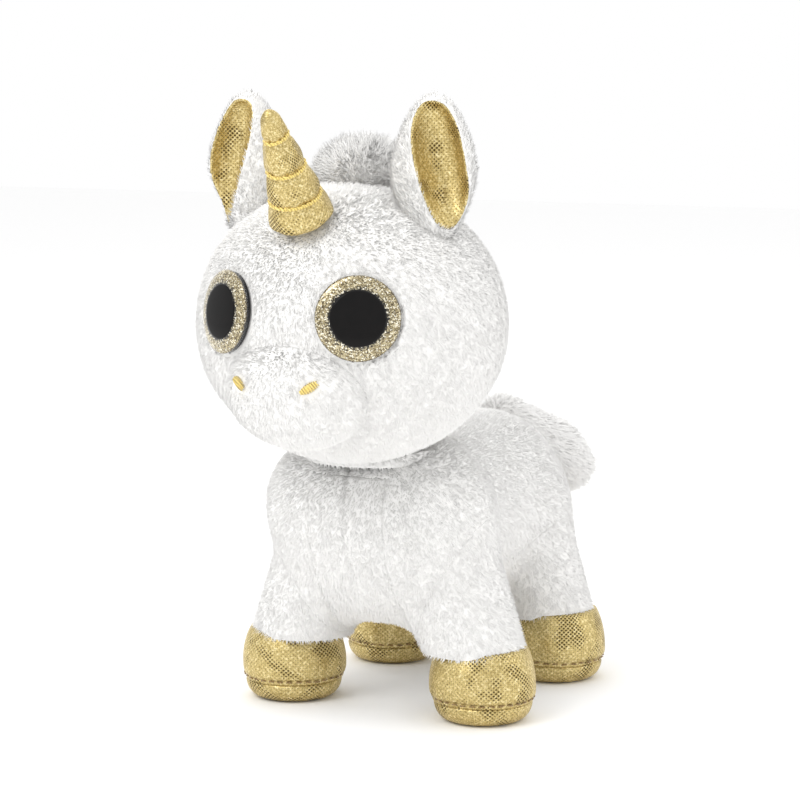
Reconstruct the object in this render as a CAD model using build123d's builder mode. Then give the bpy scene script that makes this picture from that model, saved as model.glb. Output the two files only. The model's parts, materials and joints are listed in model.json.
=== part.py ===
from build123d import *
import math
import os

# A small sewn plush unicorn, about 15 cm tall, standing on four stuffed legs.
# The animal faces -Y, its left side is +X and +Z is up; lengths are in millimetres.

# Fabric and gaps
plush_cloth = 1.2                 # short-pile plush with its knitted backing
foil_cloth = 0.9                  # gold foil fabric
long_pile = 2.6                   # long-pile fabric of mane and tail
gap = 0.4                         # space between pieces that move against each other
far = 200.0                       # longer than the whole animal

# Places along the body, from the middle of the whole length
stand_y = -2.2                    # middle of the four hooves

# Head and muzzle
head_centre = Vector(0, stand_y - 42.0, 96.5)
head_half_width = 38.2
head_radius = 33.8                # seen from the side the head is a circle
head_seam_y = head_centre.Y + 5.0  # seam between face and back of the head
muzzle_centre = head_centre + Vector(0, -24.3, -12.5)
muzzle_half_width = 17.5
muzzle_radius = 13.8

# Neck: a ball of the torso inside a hollow under the head
neck_pivot = Vector(0, stand_y - 27.0, 50.0)
neck_ball = 18.0
neck_band_inner = neck_ball + gap
neck_band_outer = 21.0
neck_hollow = neck_band_outer + gap
neck_groove_z = neck_pivot.Z + 9.6
neck_band_z = neck_groove_z + gap
neck_band_height = 7.0
head_room = 3.2                   # how far the torso stays under the head

# Eyes: plastic safety eyes with a stem and a washer
eye_radius = 10.0
eye_rim = 0.6
pupil_radius = 6.4
eye_disc = 0.6
eye_flange = 1.0
eye_dome = 3.2
stem_radius = 2.2
stem_length = 9.0
washer_radius = 6.5
washer_thickness = 1.2
washer_depth = 6.5
eye_centre = head_centre + Vector(17.2, -28.6, 4.1)
eye_yaw = 29.0
eye_pitch = 6.0

# Nostrils: satin-stitched ovals
nostril_x = 9.1
nostril_z = muzzle_centre.Z + 1.4
nostril_half_length = 1.9
nostril_half_width = 0.95
nostril_slant = 35.0
nostril_height = 0.5

# Horn
horn_place = 42.3                 # degrees forward of the top of the head
horn_lean = 31.8
horn_length = 30.0
horn_base = 7.4
horn_tip = 2.3
horn_rounding = 1.7
horn_ball_step = 0.3
horn_thread = 0.35
horn_ring_places = (4.5, 13.0, 22.0)

# Ears
ear_base = head_centre + Vector(25.0, -6.0, 25.0)
ear_slope = 37.5                  # the seam of the ear runs down and out
ear_height = 29.0
ear_foot = 4.0
ear_half_width = 10.5
ear_wide_at = 11.0
ear_curl = 10.5                   # radius of the rolled ear, outside
ear_back_cloth = 2.0
ear_lining_cloth = 1.0
ear_bead = 3.0
ear_bead_length = 9.0
ear_room = 3.4

# Mane
tuft_centre = head_centre + Vector(0, 5.5, 31.5)
tuft_half_width = 13.5
tuft_radius = 12.0
mane_half_width = 7.0
mane_height = 3.9
mane_end = -22.0                  # degrees below the back of the head

# Torso
torso_z = 45.0
torso_radius = 24.0
chest_y = stand_y - 44.0
rump_y = stand_y + 47.0
torso_end_rounding = 20.0
gusset_half_width = 10.0
gusset_top_z = 60.0
gusset_rear_y = stand_y + 30.0
pocket_in = 11.4                  # room beside the belly for the tops of the legs
pocket_top_z = 29.0
pocket_half_length = 15.6

# Legs: the loose part hangs from a ball low on the shoulder or haunch
leg_joint_z = 30.0
leg_half_base = 24.2
leg_ball = 10.8
stub_radius = 11.6
leg_top_radius = 11.5
leg_low_radius = 10.8
leg_rim = 4.0
stub_length = 20.0
stub_ball_step = 0.5
front_joint_x = 21.5
rear_joint_x = 18.8
front_stub_top = 14.0
rear_stub_top = 14.8
hoof_out = 4.8                    # hooves stand further out than the leg joints
hoof_mid_z = 9.0
hoof_flat = 8.2
hoof_seam_z = 4.6
hoof_seam_radius = 12.5
hoof_radius = 12.9
hoof_bulge_z = 9.2
hoof_top_radius = 10.9
hoof_top_z = 15.8
hoof_thread = 0.3

# Tail
tail_pivot = Vector(0, stand_y + 44.4, 62.0)
tail_turn = 8.0                   # the tail is set a little to the animal's left
tail_droop = 20.0
tail_root = 6.5
tail_neck = 5.8
tail_middle = 24.0
tail_half_length = 21.0
tail_radius = 8.6
tail_hollow = 8.6                 # room in the rump for the root of the tail

# Sewn-in tag
tag_width = 9.0
tag_length = 9.0
tag_thickness = 0.5
tag_place = Vector(11.0, stand_y + 43.0, 38.0)


def save(piece, name):
    piece.label = name
    export_step(piece, f"parts/{name}.step")


def mirrored(piece):
    with BuildPart() as other_side:
        mirror(piece, about=Plane.YZ)
    return other_side.part


def save_pair(left_piece, name):
    save(left_piece, f"{name}_left")
    save(mirrored(left_piece), f"{name}_right")


def ball(centre, radius):
    with BuildPart() as form:
        with Locations(centre):
            Sphere(radius)
    return form.part


def stretched_ball(place, half_x, half_y, half_z):
    # A ball stretched along its own three directions, then set in place.
    with BuildPart() as form:
        Sphere(half_z)
        scale(by=(half_x / half_z, half_y / half_z, 1))
    return form.part.moved(place)


def egg(centre, half_width, radius):
    # Round when seen from the side, wider across.
    return stretched_ball(Location(centre), half_width, radius, radius)


def rod(start, direction, radius, length):
    with BuildPart() as form:
        with BuildSketch(Plane(origin=start, z_dir=direction)):
            Circle(radius)
        extrude(amount=length)
    return form.part


def tapered_rod(start, direction, start_radius, end_radius, length):
    with BuildPart() as form:
        with BuildSketch(Plane(origin=start, z_dir=direction)):
            Circle(start_radius)
        with BuildSketch(Plane(origin=start + direction * length, z_dir=direction)):
            Circle(end_radius)
        loft()
    return form.part


def block(low, high):
    size = high - low
    with BuildPart() as form:
        with Locations((low + high) / 2):
            Box(size.X, size.Y, size.Z)
    return form.part


def cut(whole, *tools):
    with BuildPart() as form:
        add(whole)
        for tool in tools:
            add(tool, mode=Mode.SUBTRACT)
    return form.part


def common(whole, tool):
    with BuildPart() as form:
        add(whole)
        add(tool, mode=Mode.INTERSECT)
    return form.part


def joined(*pieces):
    with BuildPart() as form:
        for piece in pieces:
            add(piece)
    return form.part


# ---------------------------------------------------------------- eyes
eye_normal = Vector(
    math.sin(math.radians(eye_yaw)) * math.cos(math.radians(eye_pitch)),
    -math.cos(math.radians(eye_yaw)) * math.cos(math.radians(eye_pitch)),
    math.sin(math.radians(eye_pitch)),
)


def eye_plane(depth=0.0):
    return Plane(origin=eye_centre + eye_normal * depth, z_dir=eye_normal)


def eye_cylinder(radius, low, high):
    return rod(eye_centre + eye_normal * low, eye_normal, radius, high - low)


def make_eye_lens():
    # Clear dome with a skirt around the printed disc.
    with BuildPart() as lens:
        add(eye_cylinder(eye_radius, 0, eye_disc + eye_rim))
        cap_height = eye_dome - eye_disc - eye_rim
        cap_radius = (eye_radius ** 2 + cap_height ** 2) / (2 * cap_height)
        cap = common(
            ball(eye_centre + eye_normal * (eye_dome - cap_radius), cap_radius),
            eye_cylinder(eye_radius, eye_disc + eye_rim, eye_dome + 1),
        )
        add(cap)
        add(eye_cylinder(eye_radius - eye_rim, 0, eye_disc), mode=Mode.SUBTRACT)
    return lens.part


eye_iris = cut(eye_cylinder(eye_radius - eye_rim, 0, eye_disc), eye_cylinder(pupil_radius, 0, eye_disc))
eye_pupil = eye_cylinder(pupil_radius, 0, eye_disc)
eye_shank = joined(
    eye_cylinder(eye_radius - eye_rim, -eye_flange, 0),
    eye_cylinder(stem_radius, -stem_length, -eye_flange),
)
eye_washer = cut(
    eye_cylinder(washer_radius, -washer_depth, -washer_depth + washer_thickness),
    eye_cylinder(stem_radius, -stem_length, 0),
)
eye_room = joined(
    eye_cylinder(eye_radius, -eye_flange, eye_dome + 2),
    eye_cylinder(stem_radius, -stem_length, -eye_flange),
    eye_cylinder(washer_radius, -washer_depth, -washer_depth + washer_thickness),
)

# ---------------------------------------------------------------- head
horn_angle = math.radians(horn_place)
horn_pivot = head_centre + Vector(0, -math.sin(horn_angle), math.cos(horn_angle)) * head_radius
horn_axis = Vector(0, -math.sin(math.radians(horn_lean)), math.cos(math.radians(horn_lean)))
ear_axis = Vector(math.cos(math.radians(ear_slope)), 0, -math.sin(math.radians(ear_slope)))

head_outside = egg(head_centre, head_half_width, head_radius)
head_inside = egg(head_centre, head_half_width - plush_cloth, head_radius - plush_cloth)
muzzle_outside = egg(muzzle_centre, muzzle_half_width, muzzle_radius)
muzzle_inside = egg(muzzle_centre, muzzle_half_width - plush_cloth, muzzle_radius - plush_cloth)

ear_groove = rod(
    ear_base - ear_axis * (ear_bead_length / 2 + gap), ear_axis, ear_bead + gap, ear_bead_length + 2 * gap
)
head_hollows = [
    ball(neck_pivot, neck_hollow),
    ball(horn_pivot, horn_base + gap),
    ear_groove,
    mirrored(ear_groove),
    eye_room,
    mirrored(eye_room),
]
in_front = block(Vector(-far, -far, -far), Vector(far, head_seam_y, far))

head_shell = cut(head_outside, head_inside, muzzle_inside, *head_hollows)
face_panel = common(head_shell, in_front)
head_back_panel = cut(head_shell, in_front)
head_stuffing = cut(head_inside, *head_hollows)
muzzle_cover = cut(muzzle_outside, muzzle_inside, head_outside, eye_room, mirrored(eye_room))
muzzle_stuffing = cut(muzzle_inside, head_inside, eye_room, mirrored(eye_room))


def make_nostril():
    # A raised oval on the front of the muzzle, following its curve.
    rise = nostril_z - muzzle_centre.Z
    depth = muzzle_radius * math.sqrt(1 - (nostril_x / muzzle_half_width) ** 2 - (rise / muzzle_radius) ** 2)
    place = Vector(nostril_x, muzzle_centre.Y - depth, nostril_z)
    out = Vector(nostril_x / muzzle_half_width ** 2, -depth / muzzle_radius ** 2, rise / muzzle_radius ** 2)
    with BuildPart() as nostril:
        with BuildSketch(Plane(origin=place - out.normalized(), x_dir=(1, 0, 0.25), z_dir=out)):
            Ellipse(nostril_half_length, nostril_half_width, rotation=nostril_slant)
        extrude(amount=1 + nostril_height)
        add(muzzle_outside, mode=Mode.SUBTRACT)
    return nostril.part


mane_crown_tuft = cut(egg(tuft_centre, tuft_half_width, tuft_radius), head_outside)


def make_mane_strip():
    # A strip of long pile from behind the crown down to the nape.
    with BuildPart() as strip:
        with BuildSketch(Plane(origin=(-mane_half_width, head_centre.Y, head_centre.Z),
                               x_dir=(0, 1, 0), z_dir=(1, 0, 0))):
            Circle(head_radius + mane_height)
            Circle(head_radius - mane_height, mode=Mode.SUBTRACT)
            Rectangle(far, far, align=(Align.MAX, Align.CENTER), mode=Mode.SUBTRACT)
            with Locations((0, 0)):
                Rectangle(far, far, rotation=mane_end, align=(Align.CENTER, Align.MAX), mode=Mode.SUBTRACT)
        extrude(amount=2 * mane_half_width)
        add(head_outside, mode=Mode.SUBTRACT)
        add(egg(tuft_centre, tuft_half_width, tuft_radius), mode=Mode.SUBTRACT)
    return strip.part


# ---------------------------------------------------------------- horn
def horn_form(shrink):
    # A cone with a rounded tip, on a ball that sits in the head.
    base = horn_base - shrink
    with BuildPart() as form:
        add(tapered_rod(horn_pivot, horn_axis, base, horn_tip - shrink / 2, horn_length - shrink))
        fillet(form.edges().sort_by(Axis(horn_pivot, horn_axis))[-1], horn_rounding - shrink / 2)
        add(ball(horn_pivot, base - horn_ball_step))
    return form.part


def make_horn_rings(horn_outside):
    # Threads wound around the horn, lying in its surface.
    with BuildPart() as rings:
        for place in horn_ring_places:
            middle = horn_pivot + horn_axis * place
            disc = rod(middle - horn_axis * horn_thread, horn_axis, far, 2 * horn_thread)
            slice_outside = common(grown_horn, disc)
            add(cut(slice_outside, horn_outside))
    return rings.part


horn_outside = horn_form(0)
horn_inside = horn_form(foil_cloth)
grown_horn = horn_form(-horn_thread)
horn_cover = cut(horn_outside, horn_inside)
horn_thread_rings = make_horn_rings(horn_outside)


# ---------------------------------------------------------------- ears
def ear_trough(outer_radius, inner_radius):
    # An upright gutter, open to the front, cut to the outline of a leaf.
    line_y = ear_base.Y - ear_curl + ear_back_cloth / 2
    with BuildPart() as trough:
        with BuildSketch(Plane(origin=(ear_base.X, line_y, ear_base.Z - ear_height))):
            Circle(outer_radius)
            Circle(inner_radius, mode=Mode.SUBTRACT)
            Rectangle(far, far, align=(Align.CENTER, Align.MAX), mode=Mode.SUBTRACT)
        extrude(amount=3 * ear_height)
        with BuildSketch(Plane(origin=(ear_base.X, line_y - 1, ear_base.Z), x_dir=(1, 0, 0), z_dir=(0, -1, 0))):
            with BuildLine():
                outer_side = ThreePointArc((0, -ear_foot), (ear_half_width, ear_wide_at), (0, ear_height))
                ThreePointArc(outer_side @ 1, (-ear_half_width, ear_wide_at), outer_side @ 0)
            make_face()
        extrude(amount=-2 * ear_curl, mode=Mode.INTERSECT)
        add(egg(head_centre, head_half_width + ear_room, head_radius + ear_room), mode=Mode.SUBTRACT)
    return trough.part


def make_ear_back():
    with BuildPart() as back:
        add(ear_trough(ear_curl, ear_curl - ear_back_cloth))
        add(rod(ear_base - ear_axis * (ear_bead_length / 2), ear_axis, ear_bead, ear_bead_length))
        with Locations(Plane(origin=ear_base, x_dir=ear_axis, z_dir=ear_axis.cross(Vector(0, 1, 0)))):
            Box(ear_bead_length - 2, ear_back_cloth - 0.6, 8, align=(Align.CENTER, Align.CENTER, Align.MIN))
    return back.part


# The foot of the ear's back would poke into the lining, so the lining is cut by it.
ear_back = make_ear_back()
ear_lining = cut(ear_trough(ear_curl - ear_back_cloth, ear_curl - ear_back_cloth - ear_lining_cloth), ear_back)


# ---------------------------------------------------------------- legs
class Leg:
    # Places of one left leg: its joint, its hoof and the line between them.
    def __init__(self, joint_x, y, top_radius):
        self.joint = Vector(joint_x, y, leg_joint_z)
        self.hoof = Vector(joint_x + hoof_out, y, 0)
        line = Vector(joint_x + hoof_out, y, hoof_mid_z) - self.joint
        self.length = line.length
        self.down = line.normalized()
        self.stub_top = self.joint - self.down * stub_length
        self.top_radius = top_radius


front_leg = Leg(front_joint_x, stand_y - leg_half_base, front_stub_top)
rear_leg = Leg(rear_joint_x, stand_y + leg_half_base, rear_stub_top)


def leg_stub(leg, shrink):
    # The fixed top of the leg, part of the shoulder or haunch.
    return joined(
        tapered_rod(leg.joint, leg.down * -1, stub_radius - shrink, leg.top_radius - shrink, stub_length),
        ball(leg.stub_top, leg.top_radius - shrink + stub_ball_step),
    )


def leg_tube(leg, shrink):
    return tapered_rod(
        leg.joint + leg.down * leg_rim, leg.down,
        leg_top_radius - shrink, leg_low_radius - shrink, leg.length - leg_rim,
    )


def hoof_form(leg, shrink):
    # A rounded hoof, turned about an upright line, with a flat underside to stand on.
    with BuildPart() as form:
        with BuildSketch(Plane(origin=leg.hoof, x_dir=(1, 0, 0), z_dir=(0, -1, 0))):
            with BuildLine():
                under = Line((0, shrink), (hoof_flat - shrink, shrink))
                sole_side = ThreePointArc(
                    under @ 1, (11.2 - shrink, 1.55 + shrink / 2), (hoof_seam_radius - shrink, hoof_seam_z)
                )
                wall = ThreePointArc(
                    sole_side @ 1, (hoof_radius - shrink, hoof_bulge_z), (hoof_top_radius - shrink, hoof_top_z - shrink)
                )
                top = Line(wall @ 1, (0, hoof_top_z - shrink))
                Line(top @ 1, under @ 0)
            make_face()
        revolve(axis=Axis(leg.hoof, (0, 0, 1)))
    return form.part


def hoof_thread_ring(leg, hoof_outside):
    # The topstitching just above the seam of the sole.
    middle = leg.hoof + Vector(0, 0, hoof_seam_z + 3 * hoof_thread)
    with BuildPart() as ring:
        with Locations(middle):
            Torus(hoof_seam_radius + hoof_thread / 2, hoof_thread)
        add(hoof_outside, mode=Mode.SUBTRACT)
    return ring.part


def save_leg(leg, name):
    hoof_outside = hoof_form(leg, 0)
    hoof_inside = hoof_form(leg, foil_cloth)
    tube_inside = leg_tube(leg, plush_cloth)
    socket = ball(leg.joint, leg_ball + gap)
    under_seam = block(Vector(-far, -far, -far), Vector(far, far, hoof_seam_z))
    cover = cut(leg_tube(leg, 0), tube_inside, hoof_outside, socket)
    upper = cut(hoof_outside, hoof_inside, tube_inside, under_seam)
    sole = cut(common(hoof_outside, under_seam), hoof_inside)
    stuffing = cut(joined(tube_inside, hoof_inside), socket)
    stitching = hoof_thread_ring(leg, hoof_outside)
    pieces = {
        "leg_cover": cover, "hoof_upper": upper, "hoof_sole": sole,
        "hoof_stitching": stitching, "leg_stuffing": stuffing,
    }
    for piece_name, piece in pieces.items():
        save(piece, f"{name}_left_{piece_name}")
        save(mirrored(piece), f"{name}_right_{piece_name}")


# ---------------------------------------------------------------- tail
tail_axis = Vector(
    math.sin(math.radians(tail_turn)) * math.cos(math.radians(tail_droop)),
    math.cos(math.radians(tail_turn)) * math.cos(math.radians(tail_droop)),
    -math.sin(math.radians(tail_droop)),
)


def tail_form(shrink):
    # A plump spindle on a root ball.
    place = Location(Plane(origin=tail_pivot + tail_axis * tail_middle, x_dir=(1, 0, 0), z_dir=tail_axis))
    radius = tail_radius - shrink
    return joined(
        stretched_ball(place, radius, radius, tail_half_length - shrink),
        ball(tail_pivot, tail_root - shrink),
        rod(tail_pivot, tail_axis, tail_neck - shrink, tail_middle),
    )


# ---------------------------------------------------------------- torso
def barrel(shrink):
    # The trunk: a level drum with well rounded ends.
    length = rump_y - chest_y - 2 * shrink
    with BuildPart() as form:
        add(rod(Vector(0, chest_y + shrink, torso_z), Vector(0, 1, 0), torso_radius - shrink, length))
        fillet(form.edges().filter_by(GeomType.CIRCLE), torso_end_rounding - shrink)
    return form.part


def torso_form(shrink):
    # The trunk with the tops of its legs, hollowed for the loose legs, the head and the tail.
    with BuildPart() as form:
        add(barrel(shrink))
        for leg in (front_leg, rear_leg):
            pocket = block(
                Vector(leg.joint.X - pocket_in - shrink, leg.joint.Y - pocket_half_length - shrink, 0),
                Vector(far, leg.joint.Y + pocket_half_length + shrink, pocket_top_z + shrink),
            )
            add(pocket, mode=Mode.SUBTRACT)
            add(mirrored(pocket), mode=Mode.SUBTRACT)
        for leg in (front_leg, rear_leg):
            stub = leg_stub(leg, shrink)
            add(stub)
            add(mirrored(stub))
        add(egg(head_centre, head_half_width + head_room + shrink, head_radius + head_room + shrink),
            mode=Mode.SUBTRACT)
        neck_groove = common(
            ball(neck_pivot, neck_hollow + shrink),
            block(Vector(-far, -far, neck_groove_z - shrink), Vector(far, far, far)),
        )
        add(neck_groove, mode=Mode.SUBTRACT)
        add(ball(neck_pivot, neck_ball - shrink))
        add(ball(tail_pivot, tail_hollow + shrink), mode=Mode.SUBTRACT)
    return form.part


def make_neck_band():
    band_low = Vector(-far, -far, neck_band_z)
    band_high = Vector(far, far, neck_band_z + neck_band_height)
    return common(cut(ball(neck_pivot, neck_band_outer), ball(neck_pivot, neck_band_inner)),
                  block(band_low, band_high))


torso_outside = torso_form(0)
torso_inside = torso_form(plush_cloth)
leg_balls = []
for one_leg in (front_leg, rear_leg):
    one_ball = ball(one_leg.joint, leg_ball)
    leg_balls += [one_ball, mirrored(one_ball)]
torso_stuffing = joined(torso_inside, *leg_balls)
torso_shell = cut(torso_outside, torso_stuffing)

# The gusset covers the chest and the belly between the two sides.
gusset_area = joined(
    block(Vector(-gusset_half_width, -far, 0), Vector(gusset_half_width, gusset_rear_y, torso_z - 10)),
    block(Vector(-gusset_half_width, -far, 0), Vector(gusset_half_width, neck_pivot.Y - 6, gusset_top_z)),
)
chest_belly_gusset = common(torso_shell, gusset_area)
torso_sides = cut(torso_shell, gusset_area)
left_half = block(Vector(0, -far, -far), Vector(far, far, far))
torso_side_left = common(torso_sides, left_half)
torso_side_right = cut(torso_sides, left_half)


def make_care_label():
    # A folded blank tag sewn into the seam low on the rump.
    with BuildPart() as tag:
        with Locations(tag_place):
            Box(tag_thickness, tag_width, tag_length, align=(Align.CENTER, Align.MIN, Align.CENTER))
        add(torso_outside, mode=Mode.SUBTRACT)
    return tag.part


# ---------------------------------------------------------------- write every piece
os.makedirs("parts", exist_ok=True)
save(face_panel, "face_panel")
save(head_back_panel, "head_back_panel")
save(head_stuffing, "head_stuffing")
save(muzzle_cover, "muzzle_cover")
save(muzzle_stuffing, "muzzle_stuffing")
save_pair(make_nostril(), "nostril")
save_pair(make_eye_lens(), "eye_lens")
save_pair(eye_iris, "eye_iris")
save_pair(eye_pupil, "eye_pupil")
save_pair(eye_shank, "eye_shank")
save_pair(eye_washer, "eye_washer")
save(mane_crown_tuft, "mane_crown_tuft")
save(make_mane_strip(), "mane_neck_strip")
save(horn_cover, "horn_cover")
save(horn_inside, "horn_stuffing")
save(horn_thread_rings, "horn_thread_rings")
save_pair(ear_back, "ear_back")
save_pair(ear_lining, "ear_lining")
save(make_neck_band(), "neck_seam_band")
save(torso_side_left, "torso_side_left")
save(torso_side_right, "torso_side_right")
save(chest_belly_gusset, "chest_belly_gusset")
save(torso_stuffing, "torso_stuffing")
save(make_care_label(), "care_label")
save_leg(front_leg, "front")
save_leg(rear_leg, "rear")
save(cut(tail_form(0), tail_form(long_pile)), "tail_cover")
save(tail_form(long_pile), "tail_stuffing")
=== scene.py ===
import json
import math
import bpy
import numpy as np
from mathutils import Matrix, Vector


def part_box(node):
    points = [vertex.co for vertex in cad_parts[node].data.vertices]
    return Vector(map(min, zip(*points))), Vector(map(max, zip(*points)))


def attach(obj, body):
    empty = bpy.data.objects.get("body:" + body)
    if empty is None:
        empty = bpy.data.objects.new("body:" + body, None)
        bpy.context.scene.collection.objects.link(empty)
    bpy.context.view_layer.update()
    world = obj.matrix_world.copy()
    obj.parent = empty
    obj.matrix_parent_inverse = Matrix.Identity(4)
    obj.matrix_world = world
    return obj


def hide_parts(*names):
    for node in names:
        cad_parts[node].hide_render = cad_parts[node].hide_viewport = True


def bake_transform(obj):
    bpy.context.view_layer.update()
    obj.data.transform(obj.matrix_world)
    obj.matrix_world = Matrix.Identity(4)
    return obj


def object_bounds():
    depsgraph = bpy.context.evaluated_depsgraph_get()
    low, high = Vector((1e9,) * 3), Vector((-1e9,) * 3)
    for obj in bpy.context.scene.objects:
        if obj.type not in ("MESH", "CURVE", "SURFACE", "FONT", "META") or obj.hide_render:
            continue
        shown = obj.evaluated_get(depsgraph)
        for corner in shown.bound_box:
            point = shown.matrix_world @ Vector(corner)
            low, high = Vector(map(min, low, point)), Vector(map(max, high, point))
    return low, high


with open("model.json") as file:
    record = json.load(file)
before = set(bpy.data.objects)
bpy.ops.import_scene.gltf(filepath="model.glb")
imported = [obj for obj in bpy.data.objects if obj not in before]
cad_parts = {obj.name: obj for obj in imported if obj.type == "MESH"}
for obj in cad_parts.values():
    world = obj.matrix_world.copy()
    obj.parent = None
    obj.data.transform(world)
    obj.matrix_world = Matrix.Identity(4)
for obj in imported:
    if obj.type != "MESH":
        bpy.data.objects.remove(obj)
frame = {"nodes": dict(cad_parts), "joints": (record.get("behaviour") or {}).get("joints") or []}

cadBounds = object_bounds()
mm = 0.001
upwards = np.array([0.0, 0.0, 1.0])
jointOf = {joint["name"]: joint for joint in frame["joints"]}
print("frame loaded")


def nodeBox(node):
    low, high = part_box(node)
    return np.array(low) / mm, np.array(high) / mm


def jointPlace(name):
    return np.array(jointOf[name]["pos_m"]) / mm


def unit(direction):
    direction = np.asarray(direction, float)
    return direction / np.linalg.norm(direction, axis=-1, keepdims=True)


class Plug:
    # a socket that can be used in a sum
    def __init__(self, paint, socket):
        self.paint = paint
        self.socket = socket

    def maths(self, operation, first, second=0.0):
        return self.paint.node("ShaderNodeMath", {"operation": operation}, {0: first, 1: second})["Value"]

    def __add__(self, other):
        return self.maths("ADD", self, other)

    def __radd__(self, other):
        return self.maths("ADD", other, self)

    def __sub__(self, other):
        return self.maths("SUBTRACT", self, other)

    def __rsub__(self, other):
        return self.maths("SUBTRACT", other, self)

    def __mul__(self, other):
        return self.maths("MULTIPLY", self, other)

    def __rmul__(self, other):
        return self.maths("MULTIPLY", other, self)

    def __truediv__(self, other):
        return self.maths("DIVIDE", self, other)

    def __pow__(self, other):
        return self.maths("POWER", self, other)

    def floor(self):
        return self.maths("FLOOR", self)


class Paint:
    # one material and its node tree
    def __init__(self, name, **fixed):
        self.material = bpy.data.materials.new(name)
        self.material.use_nodes = True
        self.tree = self.material.node_tree
        self.shader = self.tree.nodes["Principled BSDF"]
        self.end = self.tree.nodes["Material Output"]
        for socketName, value in fixed.items():
            self.shader.inputs[socketName.replace("_", " ")].default_value = value

    def node(self, kind, settings=None, inputs=None):
        made = self.tree.nodes.new(kind)
        for key, value in (settings or {}).items():
            if key == "stops":
                self.setStops(made.color_ramp, value)
            else:
                setattr(made, key, value)
        for key, value in (inputs or {}).items():
            self.feed(made.inputs[key], value)
        return {out.name: Plug(self, out) for out in reversed(made.outputs) if out.enabled}

    def setStops(self, ramp, stops):
        while len(ramp.elements) < len(stops):
            ramp.elements.new(0.5)
        for element, (place, colour) in zip(ramp.elements, stops):
            element.position = place
            element.color = (*colour, 1.0)

    def feed(self, socket, value):
        if isinstance(value, Plug):
            self.tree.links.new(value.socket, socket)
        else:
            socket.default_value = value

    def finish(self, **varying):
        for socketName, value in varying.items():
            self.feed(self.shader.inputs[socketName.replace("_", " ")], value)
        return self.material

    # what the finishes share
    def place(self):
        return self.node("ShaderNodeTexCoord")["Object"]

    def flat(self):
        return self.node("ShaderNodeUVMap", {"uv_map": "cloth"})["UV"]

    def noise(self, where, size, detail=2.0, roughness=0.5):
        inputs = {"Vector": where, "Scale": 1.0 / size, "Detail": detail, "Roughness": roughness}
        return self.node("ShaderNodeTexNoise", {}, inputs)["Fac"]

    def ramp(self, factor, *stops):
        return self.node("ShaderNodeValToRGB", {"stops": stops}, {"Fac": factor})["Color"]

    def mix(self, factor, first, second):
        made = self.tree.nodes.new("ShaderNodeMix")
        made.data_type = "RGBA"
        for number, value in ((0, factor), (6, first), (7, second)):
            self.feed(made.inputs[number], value)
        return Plug(self, made.outputs[2])

    def bump(self, height, distance, strength=1.0):
        inputs = {"Height": height, "Distance": distance, "Strength": strength}
        return self.node("ShaderNodeBump", {}, inputs)["Normal"]


def colour(red, green, blue):
    return (red, green, blue, 1.0)


def plushPaint(name, shade=1.0):
    # short white pile: soft mottling, rough, a faint sheen
    paint = Paint(name, Roughness=0.95, Specular_IOR_Level=0.1, Sheen_Weight=0.15, Sheen_Roughness=0.4)
    mottle = paint.noise(paint.place(), 5.0 * mm, 3.0)
    fibres = paint.noise(paint.place(), 0.5 * mm, 3.0)
    low, high = (0.875 * shade, 0.866 * shade, 0.846 * shade), (0.925 * shade, 0.917 * shade, 0.902 * shade)
    warm = paint.mix(mottle, colour(*low), colour(*high))
    return paint.finish(Base_Color=warm, Normal=paint.bump(fibres, 0.15 * mm, 0.4))


def foilPaint(name, pitch=0.72):
    # gold foil printed on cloth: a fine lattice, with patches where the dots are left dark
    paint = Paint(name, Metallic=0.88, Specular_IOR_Level=0.5)
    split = paint.node("ShaderNodeSeparateXYZ", {}, {0: paint.flat()})
    across = (split["X"] + split["Y"]) / (pitch * mm * 1.414)
    along = (split["X"] - split["Y"]) / (pitch * mm * 1.414)
    stepAcross = across - across.floor() - 0.5
    stepAlong = along - along.floor() - 0.5
    fromDot = (stepAcross * stepAcross + stepAlong * stepAlong) ** 0.5
    patches = paint.noise(paint.place(), 5.5 * mm, 1.0)
    patch = paint.node("ShaderNodeMapRange", {"interpolation_type": "SMOOTHSTEP"},
                       {"Value": patches, "From Min": 0.50, "From Max": 0.66})["Result"]
    dotSize = 0.16 + 0.17 * patch
    dot = paint.node("ShaderNodeMapRange", {"interpolation_type": "SMOOTHSTEP"},
                     {"Value": fromDot - dotSize, "From Min": -0.03, "From Max": 0.07,
                      "To Min": 1.0, "To Max": 0.0})["Result"]
    # painted glints: the glint noise makes the gold's colour lighter and darker in fine specks, and also sets
    # roughness and bump
    glint = paint.noise(paint.place(), 0.55 * mm, 3.0)
    wrinkle = paint.noise(paint.place(), 3.2 * mm, 2.0)
    gold = paint.ramp(glint,
                      (0.30, (0.40, 0.30, 0.11)), (0.52, (0.62, 0.49, 0.21)), (0.76, (0.97, 0.85, 0.50)))
    dark = colour(0.10, 0.065, 0.02)
    depth = dot * (0.38 + 0.57 * patch)
    height = glint * 0.25 + wrinkle * 1.1 - dot * 0.35
    return paint.finish(Base_Color=paint.mix(depth, gold, dark), Roughness=0.34 + 0.16 * glint + 0.25 * dot,
                        Normal=paint.bump(height, 0.30 * mm, 0.8))


def threadPaint(name, tint, gloss=0.4):
    paint = Paint(name, Roughness=gloss, Metallic=0.35, Sheen_Weight=0.3)
    twist = paint.node("ShaderNodeTexWave", {"wave_type": "BANDS", "bands_direction": "DIAGONAL"},
                       {"Vector": paint.place(), "Scale": 620.0, "Distortion": 1.5})["Fac"]
    # painted highlight and shade: the twist bands blend a darker copy and a lighter, lit copy of the thread's
    # tint
    lit = tuple(min(1.0, 1.25 * part) for part in tint)
    return paint.finish(Base_Color=paint.mix(twist, colour(*(0.7 * part for part in tint)), colour(*lit)),
                        Normal=paint.bump(twist, 0.10 * mm, 0.8))


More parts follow.
